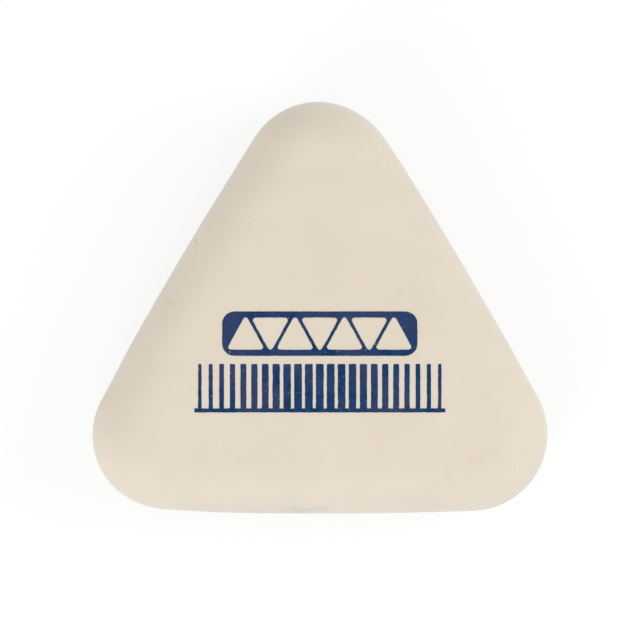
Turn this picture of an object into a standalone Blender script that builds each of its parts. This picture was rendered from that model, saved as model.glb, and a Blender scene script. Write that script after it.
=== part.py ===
"""Triangular eraser: a moulded rubber block with two marks of ink printed on its upper face.

Metres, +Z up. The block lies on its lower face at Z = 0 with its apex towards +Y. The origin is on
that face, under the middle of the outline's width and height.
"""

import math

import bpy
from mathutils import Vector

MM = 0.001

# Rubber block
WIDTH = 45.5 * MM
HEIGHT = 41.2 * MM
THICKNESS = 12.0 * MM
CORNER_RADIUS = 7.7 * MM
SIDE_BOW = 0.26 * MM
EDGE_RADIUS = 5.0 * MM

# Ink print, which stays on the flat part of the face
INK_THICKNESS = 0.05 * MM
PRINT_MARGIN = 1.6 * MM
PRINT_RISE = 10.2 * MM
PRINT_GAP = 0.8 * MM

# Lower mark: a row of bars that stand on a rule
BAR_HEIGHT = 4.8 * MM
BAR_PITCH = 1.08 * MM
BAR_NARROW = 0.30 * MM
BAR_WIDE = 0.78 * MM
BAR_END_RADIUS = 0.12 * MM
RULE_HEIGHT = 0.40 * MM

# Upper mark: a band with a frieze of triangles left open in it
BAND_HEIGHT = 4.4 * MM
BAND_CORNER_RADIUS = 1.2 * MM
BAND_BORDER = 0.60 * MM
FRIEZE_COUNT = 7
FRIEZE_LINE = 0.72 * MM
FRIEZE_CORNER_RADIUS = 0.25 * MM
FRIEZE_BOW = 0.02 * MM

# Facets along the round stretches
CORNER_FACETS = 26
SIDE_FACETS = 8
EDGE_FACETS = 9
SMALL_CORNER_FACETS = 5
SMALL_SIDE_FACETS = 2

RUBBER_COLOUR = (0.800, 0.698, 0.570)
RUBBER_ROUGHNESS = 0.6
INK_COLOUR = (0.018, 0.043, 0.120)
INK_ROUGHNESS = 0.5


def clear_scene():
    for old in list(bpy.data.objects):
        bpy.data.objects.remove(old, do_unlink=True)


def new_collection(name):
    collection = bpy.data.collections.new(name)
    bpy.context.scene.collection.children.link(collection)
    return collection


def new_material(name, colour, roughness):
    material = bpy.data.materials.new(name)
    material.use_nodes = True
    shader = material.node_tree.nodes["Principled BSDF"]
    shader.inputs["Base Color"].default_value = (*colour, 1.0)
    shader.inputs["Roughness"].default_value = roughness
    shader.inputs["Metallic"].default_value = 0.0
    return material


def arc(centre, radius, start, end, facets):
    """Points on an arc that runs counter-clockwise from start to end, both ends included."""
    sweep = (end - start) % math.tau
    angles = [start + sweep * step / facets for step in range(facets + 1)]
    return [centre + radius * Vector((math.cos(a), math.sin(a))) for a in angles]


def direction(from_point, to_point):
    return math.atan2(to_point.y - from_point.y, to_point.x - from_point.x)


class RoundedTriangle:
    """An upright triangle with round corners and sides that swell a little past straight.

    Each side is one arc, tangent to the two corner arcs that it runs between.
    """

    def __init__(self, width, height, corner_radius, bow):
        self.corner_radius = corner_radius
        base_y = -height / 2 + corner_radius + bow
        half_base = width / 2 - corner_radius
        right = Vector((half_base, base_y))
        apex = Vector((0.0, height / 2 - corner_radius))
        left = Vector((-half_base, base_y))
        self.corners = [right, apex, left]
        self.sides = [
            self.side_circle(right, apex, bow),
            self.side_circle(apex, left, bow),
            self.side_circle(left, right, bow),
        ]

    @staticmethod
    def side_circle(start, end, bow):
        """Centre and radius of the circle through two corner centres that swells by the bow."""
        chord = end - start
        outward = Vector((chord.y, -chord.x)).normalized()
        half = chord.length / 2
        radius = (half * half + bow * bow) / (2 * bow)
        return (start + end) / 2 - outward * (radius - bow), radius

    def outline(self, corner_facets, side_facets):
        points = []
        for index, corner in enumerate(self.corners):
            before, _ = self.sides[index - 1]
            after, radius = self.sides[index]
            ahead = self.corners[(index + 1) % len(self.corners)]
            turn = direction(after, corner)
            points += arc(corner, self.corner_radius, direction(before, corner), turn, corner_facets)
            side = arc(after, radius + self.corner_radius, turn, direction(after, ahead), side_facets)
            points += side[1:-1]
        return points

    def half_width(self, y, inset):
        """Distance from the middle to the right side at a height, for an outline set in by inset."""
        centre, radius = self.sides[0]
        radius += self.corner_radius - inset
        return centre.x + math.sqrt(radius * radius - (y - centre.y) ** 2)


def rounded_rectangle(width, height, radius, facets):
    points = []
    for quarter, (side_x, side_y) in enumerate(((1, 1), (-1, 1), (-1, -1), (1, -1))):
        centre = Vector((side_x * (width / 2 - radius), side_y * (height / 2 - radius)))
        start = quarter * math.pi / 2
        points += arc(centre, radius, start, start + math.pi / 2, facets)
    return points


def flat_outline(name, outlines, thickness, edge_radius=0.0):
    """A filled 2D curve, thickness tall, whose upper and lower edges are rounded."""
    curve = bpy.data.curves.new(name, "CURVE")
    curve.dimensions = "2D"
    curve.fill_mode = "BOTH"
    curve.extrude = thickness / 2 - edge_radius
    curve.bevel_depth = edge_radius
    curve.bevel_resolution = EDGE_FACETS - 1
    curve.offset = -edge_radius
    for outline in outlines:
        spline = curve.splines.new("POLY")
        spline.points.add(len(outline) - 1)
        for point, place in zip(spline.points, outline):
            point.co = (place.x, place.y, 0.0, 1.0)
        spline.use_cyclic_u = True
    return curve


def add_part(collection, curve, material, location):
    part = bpy.data.objects.new(curve.name, curve)
    part.location = location
    part.data.materials.append(material)
    collection.objects.link(part)
    return part


def eraser_block(collection, body, rubber):
    outline = body.outline(CORNER_FACETS, SIDE_FACETS)
    curve = flat_outline("eraser_block", [outline], THICKNESS, EDGE_RADIUS)
    add_part(collection, curve, rubber, (0.0, 0.0, THICKNESS / 2))


def printable_width(body, y):
    """Width of the face at a height that is flat and clear of the margin."""
    return 2 * (body.half_width(y, EDGE_RADIUS) - PRINT_MARGIN)


def bar_outline(middle, half_bar):
    """One bar with a rounded top, from its foot on the right over to its foot on the left."""
    end_y = BAR_HEIGHT - BAR_END_RADIUS
    end_x = half_bar - BAR_END_RADIUS
    points = [Vector((middle + half_bar, RULE_HEIGHT))]
    right, top, left = 0.0, math.pi / 2, math.pi
    points += arc(Vector((middle + end_x, end_y)), BAR_END_RADIUS, right, top, SMALL_CORNER_FACETS)
    points += arc(Vector((middle - end_x, end_y)), BAR_END_RADIUS, top, left, SMALL_CORNER_FACETS)
    points.append(Vector((middle - half_bar, RULE_HEIGHT)))
    return points


def print_bar_row(collection, body, ink):
    base = -HEIGHT / 2 + PRINT_RISE
    count = int(printable_width(body, base + BAR_HEIGHT) / BAR_PITCH)
    half_row = count * BAR_PITCH / 2
    outline = [Vector((-half_row, 0.0)), Vector((half_row, 0.0)), Vector((half_row, RULE_HEIGHT))]
    for index in reversed(range(count)):
        middle = (index + 0.5) * BAR_PITCH - half_row
        swell = math.sin(math.pi * (index + 0.5) / count)
        half_bar = (BAR_NARROW + (BAR_WIDE - BAR_NARROW) * swell) / 2
        outline += bar_outline(middle, half_bar)
    outline.append(Vector((-half_row, RULE_HEIGHT)))
    curve = flat_outline("print_bar_row", [outline], INK_THICKNESS)
    add_part(collection, curve, ink, (0.0, base, THICKNESS + INK_THICKNESS / 2))


def print_triangle_band(collection, body, ink):
    base = -HEIGHT / 2 + PRINT_RISE + BAR_HEIGHT + PRINT_GAP
    width = printable_width(body, base + BAND_HEIGHT)
    outlines = [rounded_rectangle(width, BAND_HEIGHT, BAND_CORNER_RADIUS, SMALL_CORNER_FACETS)]

    # Each opening reaches back over half of the last one, short of the line between them
    steps = FRIEZE_COUNT - 1
    tall = BAND_HEIGHT - 2 * BAND_BORDER
    wide = (width - 2 * BAND_BORDER - steps * FRIEZE_LINE) / (1 + steps / 2)
    pitch = wide / 2 + FRIEZE_LINE
    opening = RoundedTriangle(wide, tall, FRIEZE_CORNER_RADIUS, FRIEZE_BOW)
    opening = opening.outline(SMALL_CORNER_FACETS, SMALL_SIDE_FACETS)
    for index in range(FRIEZE_COUNT):
        middle = (index - steps / 2) * pitch
        upright = 1 if index % 2 == 0 else -1
        outlines.append([Vector((middle + upright * p.x, upright * p.y)) for p in opening])
    curve = flat_outline("print_triangle_band", outlines, INK_THICKNESS)
    add_part(collection, curve, ink, (0.0, base + BAND_HEIGHT / 2, THICKNESS + INK_THICKNESS / 2))


def build():
    clear_scene()
    collection = new_collection("triangular_eraser")
    rubber = new_material("rubber", RUBBER_COLOUR, RUBBER_ROUGHNESS)
    ink = new_material("ink", INK_COLOUR, INK_ROUGHNESS)
    body = RoundedTriangle(WIDTH, HEIGHT, CORNER_RADIUS, SIDE_BOW)
    eraser_block(collection, body, rubber)
    print_bar_row(collection, body, ink)
    print_triangle_band(collection, body, ink)


build()
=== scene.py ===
"""Looks of the triangular eraser: its rubber, its printed ink, and a plain white studio.

Metres, +Z up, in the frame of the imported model. The eraser lies flat on the floor, and the camera
looks straight down on the printed face, with the apex towards the top of the picture.
"""

import math

import bmesh
import bpy
import numpy as np
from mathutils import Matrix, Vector, geometry, noise


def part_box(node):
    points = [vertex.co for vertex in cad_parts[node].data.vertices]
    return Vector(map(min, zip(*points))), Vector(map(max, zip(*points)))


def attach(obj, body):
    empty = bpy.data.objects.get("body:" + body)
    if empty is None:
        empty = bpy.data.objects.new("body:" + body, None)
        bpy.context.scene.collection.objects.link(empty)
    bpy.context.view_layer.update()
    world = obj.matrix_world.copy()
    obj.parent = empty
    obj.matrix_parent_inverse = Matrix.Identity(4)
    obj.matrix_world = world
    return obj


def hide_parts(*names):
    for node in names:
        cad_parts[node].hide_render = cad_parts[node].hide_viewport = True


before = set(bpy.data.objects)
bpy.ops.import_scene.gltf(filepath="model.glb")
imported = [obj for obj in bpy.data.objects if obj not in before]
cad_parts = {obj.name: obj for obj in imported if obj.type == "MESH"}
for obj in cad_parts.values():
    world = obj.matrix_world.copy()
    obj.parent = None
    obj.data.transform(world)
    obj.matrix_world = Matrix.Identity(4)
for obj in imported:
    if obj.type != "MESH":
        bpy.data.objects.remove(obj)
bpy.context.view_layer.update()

MM = 0.001

# Block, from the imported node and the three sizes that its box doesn't show
BLOCK_LOW, BLOCK_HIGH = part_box("eraser_block")
WIDTH = BLOCK_HIGH.x - BLOCK_LOW.x
HEIGHT = BLOCK_HIGH.y - BLOCK_LOW.y
THICKNESS = BLOCK_HIGH.z - BLOCK_LOW.z
CORNER_RADIUS = 7.7 * MM
SIDE_BOW = 0.26 * MM
EDGE_RADIUS = 5.0 * MM

# How finely the block is meshed: steps round each corner, along each side, over each rim and down
# the wall, and the spacing of the lattice on both faces
CORNER_STEPS = 48
SIDE_STEPS = 96
EDGE_STEPS = 40
WALL_STEPS = 4
FACE_CELL = 0.45 * MM

# Relief all over the rubber, which only goes inwards: soft swells and a fine skin
SWELL_DEPTH = 0.045 * MM
SWELL_SIZE = 9.0 * MM
SKIN_DEPTH = 0.010 * MM
SKIN_SIZE = 1.6 * MM

# Dents at seeded places round both rims, where a tilt of 0 faces up or down and a right angle outwards
DENT_COUNT = 16
DENT_SEED = 24
DENT_TILT = (math.radians(22.5), math.radians(81.0))
DENT_UPPER_SHARE = 0.6
DENT_DEPTH = (0.02 * MM, 0.06 * MM)
DENT_RADIUS = (0.8 * MM, 1.7 * MM)

# Hollows where the outline is rubbed down, in millimetres: a place on it, the depth and the radius
WORN_PLACES = (
    ((4.3, 18.8), 0.18, 4.0),
    ((-21.2, -8.2), 0.14, 4.0),
    ((-16.4, -19.6), 0.18, 4.0),
)

# Grooves in the upper side, in millimetres: both ends seen from above, the depth and the radius
GROOVES = (
    ((-2.0, -20.35), (0.1, -20.2), 0.22, 0.65),
    ((-3.0, -20.0), (-2.4, -20.0), 0.16, 0.60),
    ((2.4, 15.4), (2.9, 15.4), 0.045, 0.14),
    ((4.6, 15.8), (5.2, 15.85), 0.06, 0.14),
    ((5.6, 15.6), (5.65, 15.1), 0.045, 0.14),
    ((0.3, 18.85), (0.4, 18.65), 0.055, 0.15),
    ((-7.0, 8.35), (-7.0, 7.95), 0.075, 0.17),
    ((-9.85, 8.75), (-9.5, 9.4), 0.07, 0.18),
    ((-12.3, 6.9), (-12.1, 6.3), 0.12, 0.20),
    ((-14.75, 0.75), (-14.65, 0.45), 0.065, 0.24),
    ((-14.15, -7.95), (-14.15, -8.35), 0.06, 0.14),
    ((-11.8, -13.2), (-11.75, -13.4), 0.08, 0.16),
    ((-9.7, -14.0), (-9.05, -14.0), 0.045, 0.13),
    ((19.7, -15.95), (19.75, -16.5), 0.06, 0.14),
)

# Grey darkening on the upper rim along the base, in millimetres: both ends seen from above, how much of
# it there is, as a share, and the radius. The first two are painted shade in the crease, the others grey
# the rim beside it
CREASE_SHADE_AND_RIM_GREY = (
    ((-2.0, -20.3), (0.3, -20.16), 0.18, 0.75),
    ((-2.7, -19.85), (-2.3, -19.85), 0.07, 0.60),
    ((-6.6, -20.5), (-2.4, -20.5), 0.09, 1.00),
    ((-12.2, -20.2), (-3.6, -20.2), 0.085, 1.60),
)
SHADE_AND_GREY_ATTRIBUTE = "shade_and_grey_value"

# The mesh is split round each mark, out to so many radii, until its edges are this share of the radius
MARK_REACH = 2.5
MARK_EDGE = 0.6
MARK_PASSES = 4

# Lengths below this count as nothing
TINY_LENGTH = 0.0001 * MM

# Output type of Blender's triangulation that keeps only the triangles inside the outline
TRIANGLES_INSIDE = 1

# Ink films, each made from a printed node: the node and the piece that replaces it
INK_PIECES = {
    "print_bar_row": "ink_bar_row",
    "print_triangle_band": "ink_triangle_band",
}
INK_THICKNESS = 0.040 * MM
INK_EDGE_THICKNESS = 0.015 * MM
INK_SUNK = 0.010 * MM
INK_CELL = 0.16 * MM
INK_RAGGED = 0.028 * MM
INK_RAGGED_SIZE = 0.30 * MM
INK_RAGGED_SEED = 5
INK_WELD = 0.006 * MM

# A face of a node belongs to its upper side when its normal rises at least this much
FACING_UP = 0.5

# Rubber: clouds and grain in its colour, dark specks, pale scuffs, painted shade in the crease with a
# grey rim beside it, and fine pores
RUBBER_LIGHT = (0.826, 0.725, 0.596)
RUBBER_DARK = (0.782, 0.675, 0.547)
RUBBER_ROUGHNESS = (0.54, 0.68)
CLOUD_SIZE = 7.0 * MM
GRAIN_SIZE = 0.9 * MM
GRAIN_WEIGHT = 0.4
GRAIN_SPAN = (0.3, 0.7)
TONE_SPAN = (0.4, 1.0)
SPECK_COLOUR = (0.715, 0.625, 0.503)
SPECK_SIZE = 0.55 * MM
SPECK_SPAN = (0.775, 0.86)
SCUFF_COLOUR = (0.848, 0.757, 0.633)
SCUFF_SIZE = 0.6 * MM
SCUFF_SQUEEZE = (0.5, 1.6, 1.0)
SCUFF_SPAN = (0.77, 0.82)
# Grey of the painted shade in the crease and of the darker band along the base rim
SHADE_AND_GREY_COLOUR = (0.36, 0.42, 0.41)
PORE_SIZE = 0.22 * MM
PORE_DEPTH = 0.02 * MM
PORE_STRENGTH = 0.5

# Light that goes a little way into the rubber, and a faint bluish bloom towards its rims
SUBSURFACE_WEIGHT = 0.15
SUBSURFACE_RADIUS = (1.0, 0.8, 0.6)
SUBSURFACE_SCALE = 0.6 * MM
SHEEN_WEIGHT = 0.20
SHEEN_ROUGHNESS = 0.5
SHEEN_TINT = (0.55, 0.85, 1.0)

# Ink: bluer and more violet patches, an uneven cover, and pinholes that the rubber shows through
INK_BLUE = (0.001, 0.033, 0.108)
INK_VIOLET = (0.037, 0.043, 0.114)
INK_THIN = (0.023, 0.067, 0.184)
INK_ROUGHNESS = (0.40, 0.56)
INK_SPECULAR = 0.05
PATCH_SIZE = 5.0 * MM
PATCH_SPAN = (0.41, 0.59)
COVER_SIZE = 0.9 * MM
COVER_SPAN = (0.36, 0.76)
PINHOLE_SIZE = 0.16 * MM
PINHOLE_SPAN = (0.70, 0.76)
RIPPLE_SIZE = 0.14 * MM
RIPPLE_DEPTH = 0.01 * MM
RIPPLE_STRENGTH = 0.4

# Floor and sky
WHITE = (1.0, 1.0, 1.0)
FLOOR_HALF = 1.5
FLOOR_COLOUR = (0.97, 0.98, 0.99)
FLOOR_GLOW_SHARE = 0.66
FLOOR_GLOW_STRENGTH = 1.05
SKY_STRENGTH = 0.684

# Soft panels: the direction that each one stands in, counter-clockwise from the right, and its power
PANELS = {
    "right_panel": (math.radians(10), 0.225),
    "left_panel": (math.radians(230), 0.215),
}
PANEL_SIZE = 0.18
PANEL_DISTANCE = 0.28
PANEL_RISE = math.radians(35)
PANEL_COLOUR = (0.94, 0.98, 1.0)

# Camera: the photograph's frame is 640 pixels square
FRAME_PIXELS = 640
MM_PER_PIXEL = 0.1000
OUTLINE_CENTRE_PIXEL = (319.8, 307.5)
CAMERA_DISTANCE = 0.60
SENSOR_WIDTH = 36.0


# Outline of the block

def side_circle(start, end):
    """Centre and radius of the circle through two corner centres that swells by the side's bow."""
    chord = end - start
    outward = Vector((chord.y, -chord.x)).normalized()
    half = chord.length / 2
    radius = (half * half + SIDE_BOW * SIDE_BOW) / (2 * SIDE_BOW)
    return (start + end) / 2 - outward * (radius - SIDE_BOW), radius


def arc_samples(centre, radius, start, end, steps):
    """Points and outward directions along an arc, without its last point."""
    sweep = (end - start) % math.tau
    angles = start + sweep * np.arange(steps) / steps
    outward = np.column_stack((np.cos(angles), np.sin(angles)))
    return np.array(centre) + radius * outward, outward


def direction(from_point, to_point):
    """The angle, counter-clockwise from the right, at which one point sees another."""
    return math.atan2(to_point.y - from_point.y, to_point.x - from_point.x)


def outline():
    """Points and outward directions round the block, counter-clockwise from the lower right corner."""
    base_y = -HEIGHT / 2 + CORNER_RADIUS + SIDE_BOW
    half_base = WIDTH / 2 - CORNER_RADIUS
    right = Vector((half_base, base_y))
    apex = Vector((0.0, HEIGHT / 2 - CORNER_RADIUS))
    left = Vector((-half_base, base_y))
    samples = []
    for last, corner, following in ((left, right, apex), (right, apex, left), (apex, left, right)):
        before, _ = side_circle(last, corner)
        after, radius = side_circle(corner, following)
        turn = direction(after, corner)
        ahead = direction(after, following)
        samples.append(arc_samples(corner, CORNER_RADIUS, direction(before, corner), turn, CORNER_STEPS))
        samples.append(arc_samples(after, radius + CORNER_RADIUS, turn, ahead, SIDE_STEPS))
    points, outward = zip(*samples)
    return np.concatenate(points), np.concatenate(outward)


# Relief: each mark has two ends, a depth and a radius, and a round one has both ends in one place

def mark_distance(places, start, end):
    """How far each place lies from the stretch between a mark's two ends."""
    along = end - start
    share = (places - start) @ along / max(along @ along, TINY_LENGTH ** 2)
    nearest = start + np.clip(share, 0.0, 1.0)[:, None] * along
    return np.linalg.norm(places - nearest, axis=1)


def upper_place(x, y, points, outward):
    """The place on the block's upper side that a point seen from above lies on."""
    nearest = np.argmin(np.hypot(points[:, 0] - x, points[:, 1] - y))
    inset = (points[nearest] - (x, y)) @ outward[nearest]
    lean = max(0.0, 1 - inset / EDGE_RADIUS)
    return np.array((x, y, THICKNESS - EDGE_RADIUS * (1 - math.sqrt(1 - lean * lean))))


def rim_dents(points, outward):
    """Shallow round marks at seeded places on the upper and lower rims."""
    random = np.random.default_rng(DENT_SEED)
    dents = []
    for _ in range(DENT_COUNT):
        place = random.integers(len(points))
        tilt = random.uniform(*DENT_TILT)
        drop = EDGE_RADIUS * (1 - math.cos(tilt))
        upper = random.random() < DENT_UPPER_SHARE
        x, y = points[place] - outward[place] * EDGE_RADIUS * (1 - math.sin(tilt))
        centre = np.array((x, y, THICKNESS - drop if upper else drop))
        dents.append((centre, centre, random.uniform(*DENT_DEPTH), random.uniform(*DENT_RADIUS)))
    return dents


def surface_marks(points, outward):
    """All the marks in the rubber: worn places, grooves and dents."""
    marks = []
    for (x, y), depth, radius in WORN_PLACES:
        centre = np.array((x * MM, y * MM, THICKNESS / 2))
        marks.append((centre, centre, depth * MM, radius * MM))
    for start, end, depth, radius in GROOVES:
        ends = [upper_place(x * MM, y * MM, points, outward) for x, y in (start, end)]
        marks.append((*ends, depth * MM, radius * MM))
    return marks + rim_dents(points, outward)


def relief(places, marks):
    """How far the rubber lies below the block's true surface at each place."""
    depth = np.zeros(len(places))
    for size, deep in ((SWELL_SIZE, SWELL_DEPTH), (SKIN_SIZE, SKIN_DEPTH)):
        waves = np.array([noise.noise(place) for place in places / size])
        depth += deep * (0.5 + 0.5 * waves)
    for start, end, deep, radius in marks:
        away = mark_distance(places, start, end) / radius
        depth += deep * np.exp(-away * away)
    return depth


def shade_and_grey_amounts(places, points, outward):
    """How much grey darkening, painted shade in the crease and grey along the base rim, lies at each
    place.
    """
    amount = np.zeros(len(places))
    for start, end, most, radius in CREASE_SHADE_AND_RIM_GREY:
        ends = [upper_place(x * MM, y * MM, points, outward) for x, y in (start, end)]
        away = mark_distance(places, *ends) / (radius * MM)
        amount += most * np.exp(-away * away)
    return amount


# Pieces

def new_piece(name, mesh):
    """An object in the scene that shows a mesh."""
    piece = bpy.data.objects.new(name, mesh)
    bpy.context.scene.collection.objects.link(piece)
    return piece


def block_rings(points, outward):
    """Rings of places round the block, from the edge of its upper face to the edge of its lower one."""
    upper = []
    for step in range(EDGE_STEPS + 1):
        tilt = math.pi / 2 * step / EDGE_STEPS
        inset = EDGE_RADIUS * (1 - math.sin(tilt))
        upper.append((points - outward * inset, THICKNESS - EDGE_RADIUS * (1 - math.cos(tilt))))
    wall = []
    for step in range(1, WALL_STEPS):
        share = step / WALL_STEPS
        wall.append((points, (THICKNESS - EDGE_RADIUS) * (1 - share) + EDGE_RADIUS * share))
    lower = [(places, THICKNESS - z) for places, z in reversed(upper)]
    return [np.column_stack((places, np.full(len(places), z))) for places, z in upper + wall + lower]


def face_fill(edge, outward):
    """Places on a triangular lattice inside a face's edge, and triangles over the edge and them."""
    half = np.abs(edge).max()
    rows = np.arange(-half, half, FACE_CELL * math.sqrt(3) / 2)
    across = np.arange(-half, half, FACE_CELL)
    lattice = np.array([(x + FACE_CELL / 2 * (row % 2), y) for row, y in enumerate(rows) for x in across])
    past = lattice @ outward.T - (edge * outward).sum(axis=1)
    inside = lattice[past.max(axis=1) < -FACE_CELL / 2]
    places = [Vector(place) for place in np.vstack((edge, inside))]
    border = list(range(len(edge)))
    filled = geometry.delaunay_2d_cdt(places, [], [border], TRIANGLES_INSIDE, TINY_LENGTH)
    _, _, triangles, *_ = filled
    return inside, triangles


def block_mesh(points, outward):
    """The block without its relief: rings of quads round its side, and triangles over both faces."""
    rings = block_rings(points, outward)
    count = len(points)
    faces = []
    for row in range(len(rings) - 1):
        here = row * count
        below = here + count
        for k in range(count):
            ahead = (k + 1) % count
            faces.append((here + k, below + k, below + ahead, here + ahead))
    inside, triangles = face_fill(rings[0][:, :2], outward)
    places = np.vstack(rings)
    for ring, z, turn in ((0, THICKNESS, 1), (len(rings) - 1, 0.0, -1)):
        edge_numbers = range(ring * count, (ring + 1) * count)
        inside_numbers = range(len(places), len(places) + len(inside))
        numbers = [*edge_numbers, *inside_numbers]
        faces += [[numbers[k] for k in triangle[::turn]] for triangle in triangles]
        places = np.vstack((places, np.column_stack((inside, np.full(len(inside), z)))))
    mesh = bpy.data.meshes.new("rubber_block")
    mesh.from_pydata(places.tolist(), [], faces)
    return mesh


def coarse_edges(bm, marks):
    """The edges that are too long for a mark near them, the longest first."""
    edges = list(bm.edges)
    starts = np.array([e.verts[0].co[:] for e in edges])
    ends = np.array([e.verts[1].co[:] for e in edges])
    middles = (starts + ends) / 2
    lengths = np.linalg.norm(starts - ends, axis=1)
    coarse = np.zeros(len(edges), dtype=bool)
    for start, end, _, radius in marks:
        near = mark_distance(middles, start, end) < radius * MARK_REACH
        coarse |= near & (lengths > radius * MARK_EDGE)
    return [edges[k] for k in np.argsort(-lengths) if coarse[k]]


def split_near_marks(bm, marks):
    """Splits the mesh near the marks until it is fine enough to take their shapes."""
    for _ in range(MARK_PASSES):
        faces = {face for edge in coarse_edges(bm, marks) for face in edge.link_faces}
        bmesh.ops.triangulate(bm, faces=list(faces))
        for edge in coarse_edges(bm, marks):
            sides = [(f, next(v for v in f.verts if v not in edge.verts)) for f in edge.link_faces]
            _, middle = bmesh.utils.edge_split(edge, edge.verts[0], 0.5)
            for face, corner in sides:
                bmesh.utils.face_split(face, middle, corner)


def rubber_block(points, outward, marks):
    """The block with its relief, and with the painted crease shade and grey base rim as a value at each
    vertex.
    """
    mesh = block_mesh(points, outward)
    bm = bmesh.new()
    bm.from_mesh(mesh)
    split_near_marks(bm, marks)
    bm.normal_update()
    places = np.array([v.co[:] for v in bm.verts])
    for vert, depth in zip(bm.verts, relief(places, marks)):
        vert.co -= vert.normal * depth
    bm.to_mesh(mesh)
    bm.free()
    mesh.shade_smooth()
    # Painted shade in the crease and grey along the base rim, stored at each vertex
    shade_and_grey_value = mesh.attributes.new(SHADE_AND_GREY_ATTRIBUTE, "FLOAT", "POINT")
    shade_and_grey_value.data.foreach_set("value", shade_and_grey_amounts(places, points, outward))
    return new_piece("rubber_block", mesh)


def cut_in_cells(bm):
    """Cuts a flat sheet along a square grid, so that it can follow the relief under it."""
    for axis in (Vector((1, 0, 0)), Vector((0, 1, 0))):
        along = [v.co.dot(axis) for v in bm.verts]
        for step in range(math.ceil(min(along) / INK_CELL), math.ceil(max(along) / INK_CELL)):
            everything = list(bm.verts) + list(bm.edges) + list(bm.faces)
            bmesh.ops.bisect_plane(
                bm, geom=everything, dist=INK_WELD, plane_co=axis * step * INK_CELL, plane_no=axis)
    bmesh.ops.remove_doubles(bm, verts=bm.verts, dist=INK_WELD)
    bmesh.ops.triangulate(bm, faces=bm.faces)


def ink_film(node, name, marks):
    """A thin film over the rubber in the shape of a printed CAD node, with a soft, ragged edge."""
    bm = bmesh.new()
    bm.from_mesh(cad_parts[node].data)
    bmesh.ops.remove_doubles(bm, verts=bm.verts, dist=INK_WELD)
    other_faces = [f for f in bm.faces if f.normal.z < FACING_UP]
    bmesh.ops.delete(bm, geom=other_faces, context="FACES")
    cut_in_cells(bm)
    rubber = [Vector((v.co.x, v.co.y, THICKNESS)) for v in bm.verts]
    depths = relief(np.array(rubber), marks)
    noise.seed_set(INK_RAGGED_SEED)
    for vert, place, depth in zip(bm.verts, rubber, depths):
        ragged = noise.noise_vector(place / INK_RAGGED_SIZE) * INK_RAGGED
        film = INK_EDGE_THICKNESS if vert.is_boundary else INK_THICKNESS
        vert.co = place + Vector((ragged.x, ragged.y, film - depth))
    mesh = bpy.data.meshes.new(name)
    bm.to_mesh(mesh)
    bm.free()
    mesh.shade_smooth()
    piece = new_piece(name, mesh)
    shell = piece.modifiers.new("film", "SOLIDIFY")
    shell.thickness = INK_THICKNESS + INK_SUNK
    shell.offset = -1
    return piece


def finish_piece(piece, material, node):
    """Gives a piece its material and puts it in the place of a CAD node."""
    piece.data.materials.append(material)
    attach(piece, "root")
    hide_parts(node)


# Materials

class Nodes:
    """A material's node tree, with short calls to add and link its nodes."""

    # A Mix node has a set of sockets for each kind of value, and these are the ones for colours
    MIX_FIRST = 6
    MIX_SECOND = 7
    MIX_RESULT = 2

    def __init__(self, name):
        self.material = bpy.data.materials.new(name)
        self.material.use_nodes = True
        self.tree = self.material.node_tree
        self.shader = self.tree.nodes["Principled BSDF"]
        self.place = self.tree.nodes.new("ShaderNodeTexCoord").outputs["Object"]

    def link(self, source, socket):
        """Feeds one node's output into another's input."""
        self.tree.links.new(source, socket)

    def noise(self, size, detail=3.0, roughness=0.5, place=None):
        """Noise from 0 to 1 whose features are about the given size."""
        node = self.tree.nodes.new("ShaderNodeTexNoise")
        node.inputs["Scale"].default_value = 1.0 / size
        node.inputs["Detail"].default_value = detail
        node.inputs["Roughness"].default_value = roughness
        self.link(place or self.place, node.inputs["Vector"])
        return node.outputs["Fac"]

    def attribute(self, name):
        """A value that the piece's mesh holds at each of its vertices."""
        node = self.tree.nodes.new("ShaderNodeAttribute")
        node.attribute_name = name
        return node.outputs["Fac"]

    def stretched(self, squeeze):
        """The place on the piece with each axis squeezed, which stretches a noise read there."""
        node = self.tree.nodes.new("ShaderNodeMapping")
        node.inputs["Scale"].default_value = squeeze
        self.link(self.place, node.inputs["Vector"])
        return node.outputs["Vector"]

    def remap(self, source, span, to=(0.0, 1.0)):
        """A value that goes from one end of a range to the other as the source crosses its span."""
        node = self.tree.nodes.new("ShaderNodeMapRange")
        for name, value in zip(("From Min", "From Max", "To Min", "To Max"), (*span, *to)):
            node.inputs[name].default_value = value
        self.link(source, node.inputs["Value"])
        return node.outputs["Result"]

    def mix(self, factor, first, second):
        """A colour between two, each a colour or another node's output."""
        node = self.tree.nodes.new("ShaderNodeMix")
        node.data_type = "RGBA"
        self.link(factor, node.inputs["Factor"])
        for value, number in ((first, self.MIX_FIRST), (second, self.MIX_SECOND)):
            if isinstance(value, tuple):
                node.inputs[number].default_value = (*value, 1.0)
            else:
                self.link(value, node.inputs[number])
        return node.outputs[self.MIX_RESULT]

    def add(self, first, second, weight):
        """The first value plus the second one times a weight."""
        node = self.tree.nodes.new("ShaderNodeMath")
        node.operation = "MULTIPLY_ADD"
        self.link(second, node.inputs[0])
        node.inputs[1].default_value = weight
        self.link(first, node.inputs[2])
        return node.outputs[0]

    def bump(self, height, distance, strength):
        """Lets a height ruffle the shading of the surface."""
        node = self.tree.nodes.new("ShaderNodeBump")
        node.inputs["Distance"].default_value = distance
        node.inputs["Strength"].default_value = strength
        self.link(height, node.inputs["Height"])
        self.link(node.outputs["Normal"], self.shader.inputs["Normal"])

    def set(self, **values):
        """Sets inputs of the shader, whose names are given with underscores for spaces."""
        for name, value in values.items():
            self.shader.inputs[name.replace("_", " ")].default_value = value


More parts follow.
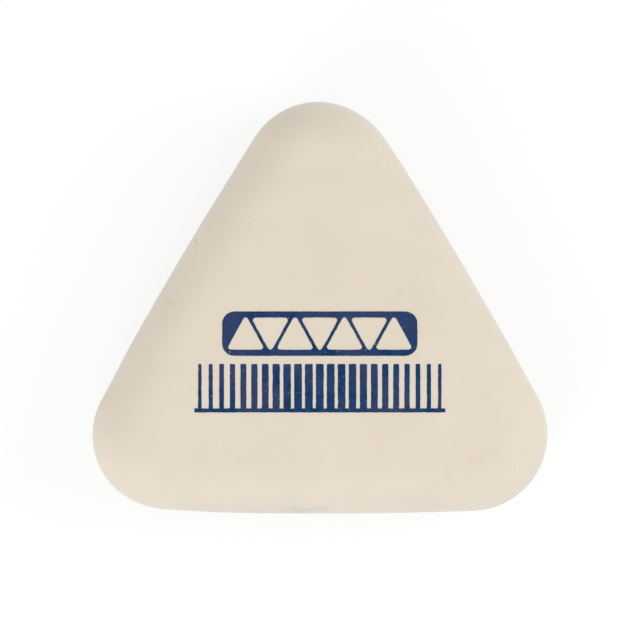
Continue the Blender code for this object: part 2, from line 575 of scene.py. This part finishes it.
def rubber_material():
    """Cream rubber, a little uneven in tone."""
    nodes = Nodes("rubber")
    clouds = nodes.noise(CLOUD_SIZE, detail=4.0)
    grain = nodes.noise(GRAIN_SIZE, detail=5.0, roughness=0.6)
    tone = nodes.remap(nodes.add(clouds, grain, GRAIN_WEIGHT), TONE_SPAN)
    colour = nodes.mix(tone, RUBBER_DARK, RUBBER_LIGHT)
    specks = nodes.remap(nodes.noise(SPECK_SIZE, detail=1.0), SPECK_SPAN)
    colour = nodes.mix(specks, colour, SPECK_COLOUR)
    streaks = nodes.noise(SCUFF_SIZE, detail=1.0, place=nodes.stretched(SCUFF_SQUEEZE))
    colour = nodes.mix(nodes.remap(streaks, SCUFF_SPAN), colour, SCUFF_COLOUR)
    # Painted shade in the crease, and grey along the base rim
    colour = nodes.mix(nodes.attribute(SHADE_AND_GREY_ATTRIBUTE), colour, SHADE_AND_GREY_COLOUR)
    nodes.link(colour, nodes.shader.inputs["Base Color"])
    nodes.link(nodes.remap(grain, GRAIN_SPAN, RUBBER_ROUGHNESS), nodes.shader.inputs["Roughness"])
    nodes.bump(nodes.noise(PORE_SIZE), PORE_DEPTH, PORE_STRENGTH)
    nodes.set(
        Subsurface_Weight=SUBSURFACE_WEIGHT,
        Subsurface_Radius=SUBSURFACE_RADIUS,
        Subsurface_Scale=SUBSURFACE_SCALE,
        Sheen_Weight=SHEEN_WEIGHT,
        Sheen_Roughness=SHEEN_ROUGHNESS,
        Sheen_Tint=(*SHEEN_TINT, 1.0),
    )
    return nodes.material


def ink_material():
    """Blue printing ink that covers the rubber unevenly."""
    nodes = Nodes("ink")
    cover = nodes.remap(nodes.noise(COVER_SIZE, detail=6.0, roughness=0.75), COVER_SPAN)
    patches = nodes.remap(nodes.noise(PATCH_SIZE, detail=2.0), PATCH_SPAN)
    colour = nodes.mix(patches, INK_BLUE, INK_VIOLET)
    colour = nodes.mix(cover, colour, INK_THIN)
    pinholes = nodes.remap(nodes.noise(PINHOLE_SIZE, detail=2.0), PINHOLE_SPAN)
    colour = nodes.mix(pinholes, colour, RUBBER_DARK)
    nodes.link(colour, nodes.shader.inputs["Base Color"])
    nodes.link(nodes.remap(cover, (0.0, 1.0), INK_ROUGHNESS), nodes.shader.inputs["Roughness"])
    nodes.bump(nodes.noise(RIPPLE_SIZE, detail=2.0), RIPPLE_DEPTH, RIPPLE_STRENGTH)
    nodes.set(Specular_IOR_Level=INK_SPECULAR)
    return nodes.material


# Stage

def camera_ray(tree):
    """1 where the camera sees a surface directly or by reflection, 0 where it only lights others."""
    path = tree.nodes.new("ShaderNodeLightPath")
    seen = path.outputs["Is Camera Ray"]
    for name in ("Is Glossy Ray", "Is Transmission Ray"):
        either = tree.nodes.new("ShaderNodeMath")
        either.operation = "MAXIMUM"
        tree.links.new(seen, either.inputs[0])
        tree.links.new(path.outputs[name], either.inputs[1])
        seen = either.outputs[0]
    return seen


def floor_material():
    """Matt white that glows a little for the camera, which keeps the shadow and lightens the rest."""
    material = bpy.data.materials.new("floor")
    material.use_nodes = True
    tree = material.node_tree
    tree.nodes.clear()
    matt = tree.nodes.new("ShaderNodeBsdfDiffuse")
    matt.inputs["Color"].default_value = (*FLOOR_COLOUR, 1.0)
    glow = tree.nodes.new("ShaderNodeEmission")
    glow.inputs["Strength"].default_value = FLOOR_GLOW_STRENGTH
    share = tree.nodes.new("ShaderNodeMath")
    share.operation = "MULTIPLY"
    share.inputs[1].default_value = FLOOR_GLOW_SHARE
    mix = tree.nodes.new("ShaderNodeMixShader")
    output = tree.nodes.new("ShaderNodeOutputMaterial")
    tree.links.new(camera_ray(tree), share.inputs[0])
    tree.links.new(share.outputs[0], mix.inputs["Fac"])
    tree.links.new(matt.outputs[0], mix.inputs[1])
    tree.links.new(glow.outputs[0], mix.inputs[2])
    tree.links.new(mix.outputs[0], output.inputs["Surface"])
    return material


def white_floor():
    """A wide level square that the eraser lies on."""
    mesh = bpy.data.meshes.new("floor")
    corners = [(x * FLOOR_HALF, y * FLOOR_HALF, 0.0) for x, y in ((-1, -1), (1, -1), (1, 1), (-1, 1))]
    mesh.from_pydata(corners, [], [(0, 1, 2, 3)])
    mesh.materials.append(floor_material())
    floor = new_piece("floor", mesh)


def soft_sky():
    """An even soft light from all round, which the camera sees as white."""
    world = bpy.data.worlds.new("studio")
    bpy.context.scene.world = world
    world.use_nodes = True
    tree = world.node_tree
    tree.nodes.clear()
    light = tree.nodes.new("ShaderNodeBackground")
    light.inputs["Color"].default_value = (*WHITE, 1.0)
    light.inputs["Strength"].default_value = SKY_STRENGTH
    white = tree.nodes.new("ShaderNodeBackground")
    white.inputs["Color"].default_value = (*WHITE, 1.0)
    mix = tree.nodes.new("ShaderNodeMixShader")
    output = tree.nodes.new("ShaderNodeOutputWorld")
    tree.links.new(camera_ray(tree), mix.inputs["Fac"])
    tree.links.new(light.outputs[0], mix.inputs[1])
    tree.links.new(white.outputs[0], mix.inputs[2])
    tree.links.new(mix.outputs[0], output.inputs["Surface"])


def soft_panel(name, turn, power):
    """A square lamp beside the eraser that faces it from a little above."""
    lamp = bpy.data.lights.new(name, "AREA")
    lamp.size = PANEL_SIZE
    lamp.energy = power
    lamp.color = PANEL_COLOUR
    panel = bpy.data.objects.new(name, lamp)
    level = Vector((math.cos(turn), math.sin(turn), 0.0)) * math.cos(PANEL_RISE)
    panel.location = (level + Vector((0.0, 0.0, math.sin(PANEL_RISE)))) * PANEL_DISTANCE
    panel.rotation_mode = "QUATERNION"
    panel.rotation_quaternion = (-panel.location).to_track_quat("-Z", "Y")
    bpy.context.scene.collection.objects.link(panel)


def camera():
    """Straight above the eraser, where its widest section has the photograph's scale and place."""
    data = bpy.data.cameras.new("camera")
    data.sensor_width = SENSOR_WIDTH
    data.lens = SENSOR_WIDTH * CAMERA_DISTANCE / (FRAME_PIXELS * MM_PER_PIXEL * MM)
    view = bpy.data.objects.new("camera", data)
    x = (FRAME_PIXELS / 2 - OUTLINE_CENTRE_PIXEL[0]) * MM_PER_PIXEL * MM
    y = (OUTLINE_CENTRE_PIXEL[1] - FRAME_PIXELS / 2) * MM_PER_PIXEL * MM
    view.location = (x, y, THICKNESS / 2 + CAMERA_DISTANCE)
    bpy.context.scene.collection.objects.link(view)
    bpy.context.scene.camera = view


def build():
    """The eraser's three pieces on the stage, lit and framed as in the photograph."""
    points, outward = outline()
    marks = surface_marks(points, outward)
    rubber = rubber_material()
    ink = ink_material()
    finish_piece(rubber_block(points, outward, marks), rubber, "eraser_block")
    for node, name in INK_PIECES.items():
        finish_piece(ink_film(node, name, marks), ink, node)
    white_floor()
    soft_sky()
    for name, (turn, power) in PANELS.items():
        soft_panel(name, turn, power)
    camera()
    bpy.context.scene.view_settings.view_transform = "Standard"
    # Baked maps run on past their islands in the colour of the edge, which leaves no dark seams
    bpy.context.scene.render.bake.margin_type = "EXTEND"


build()
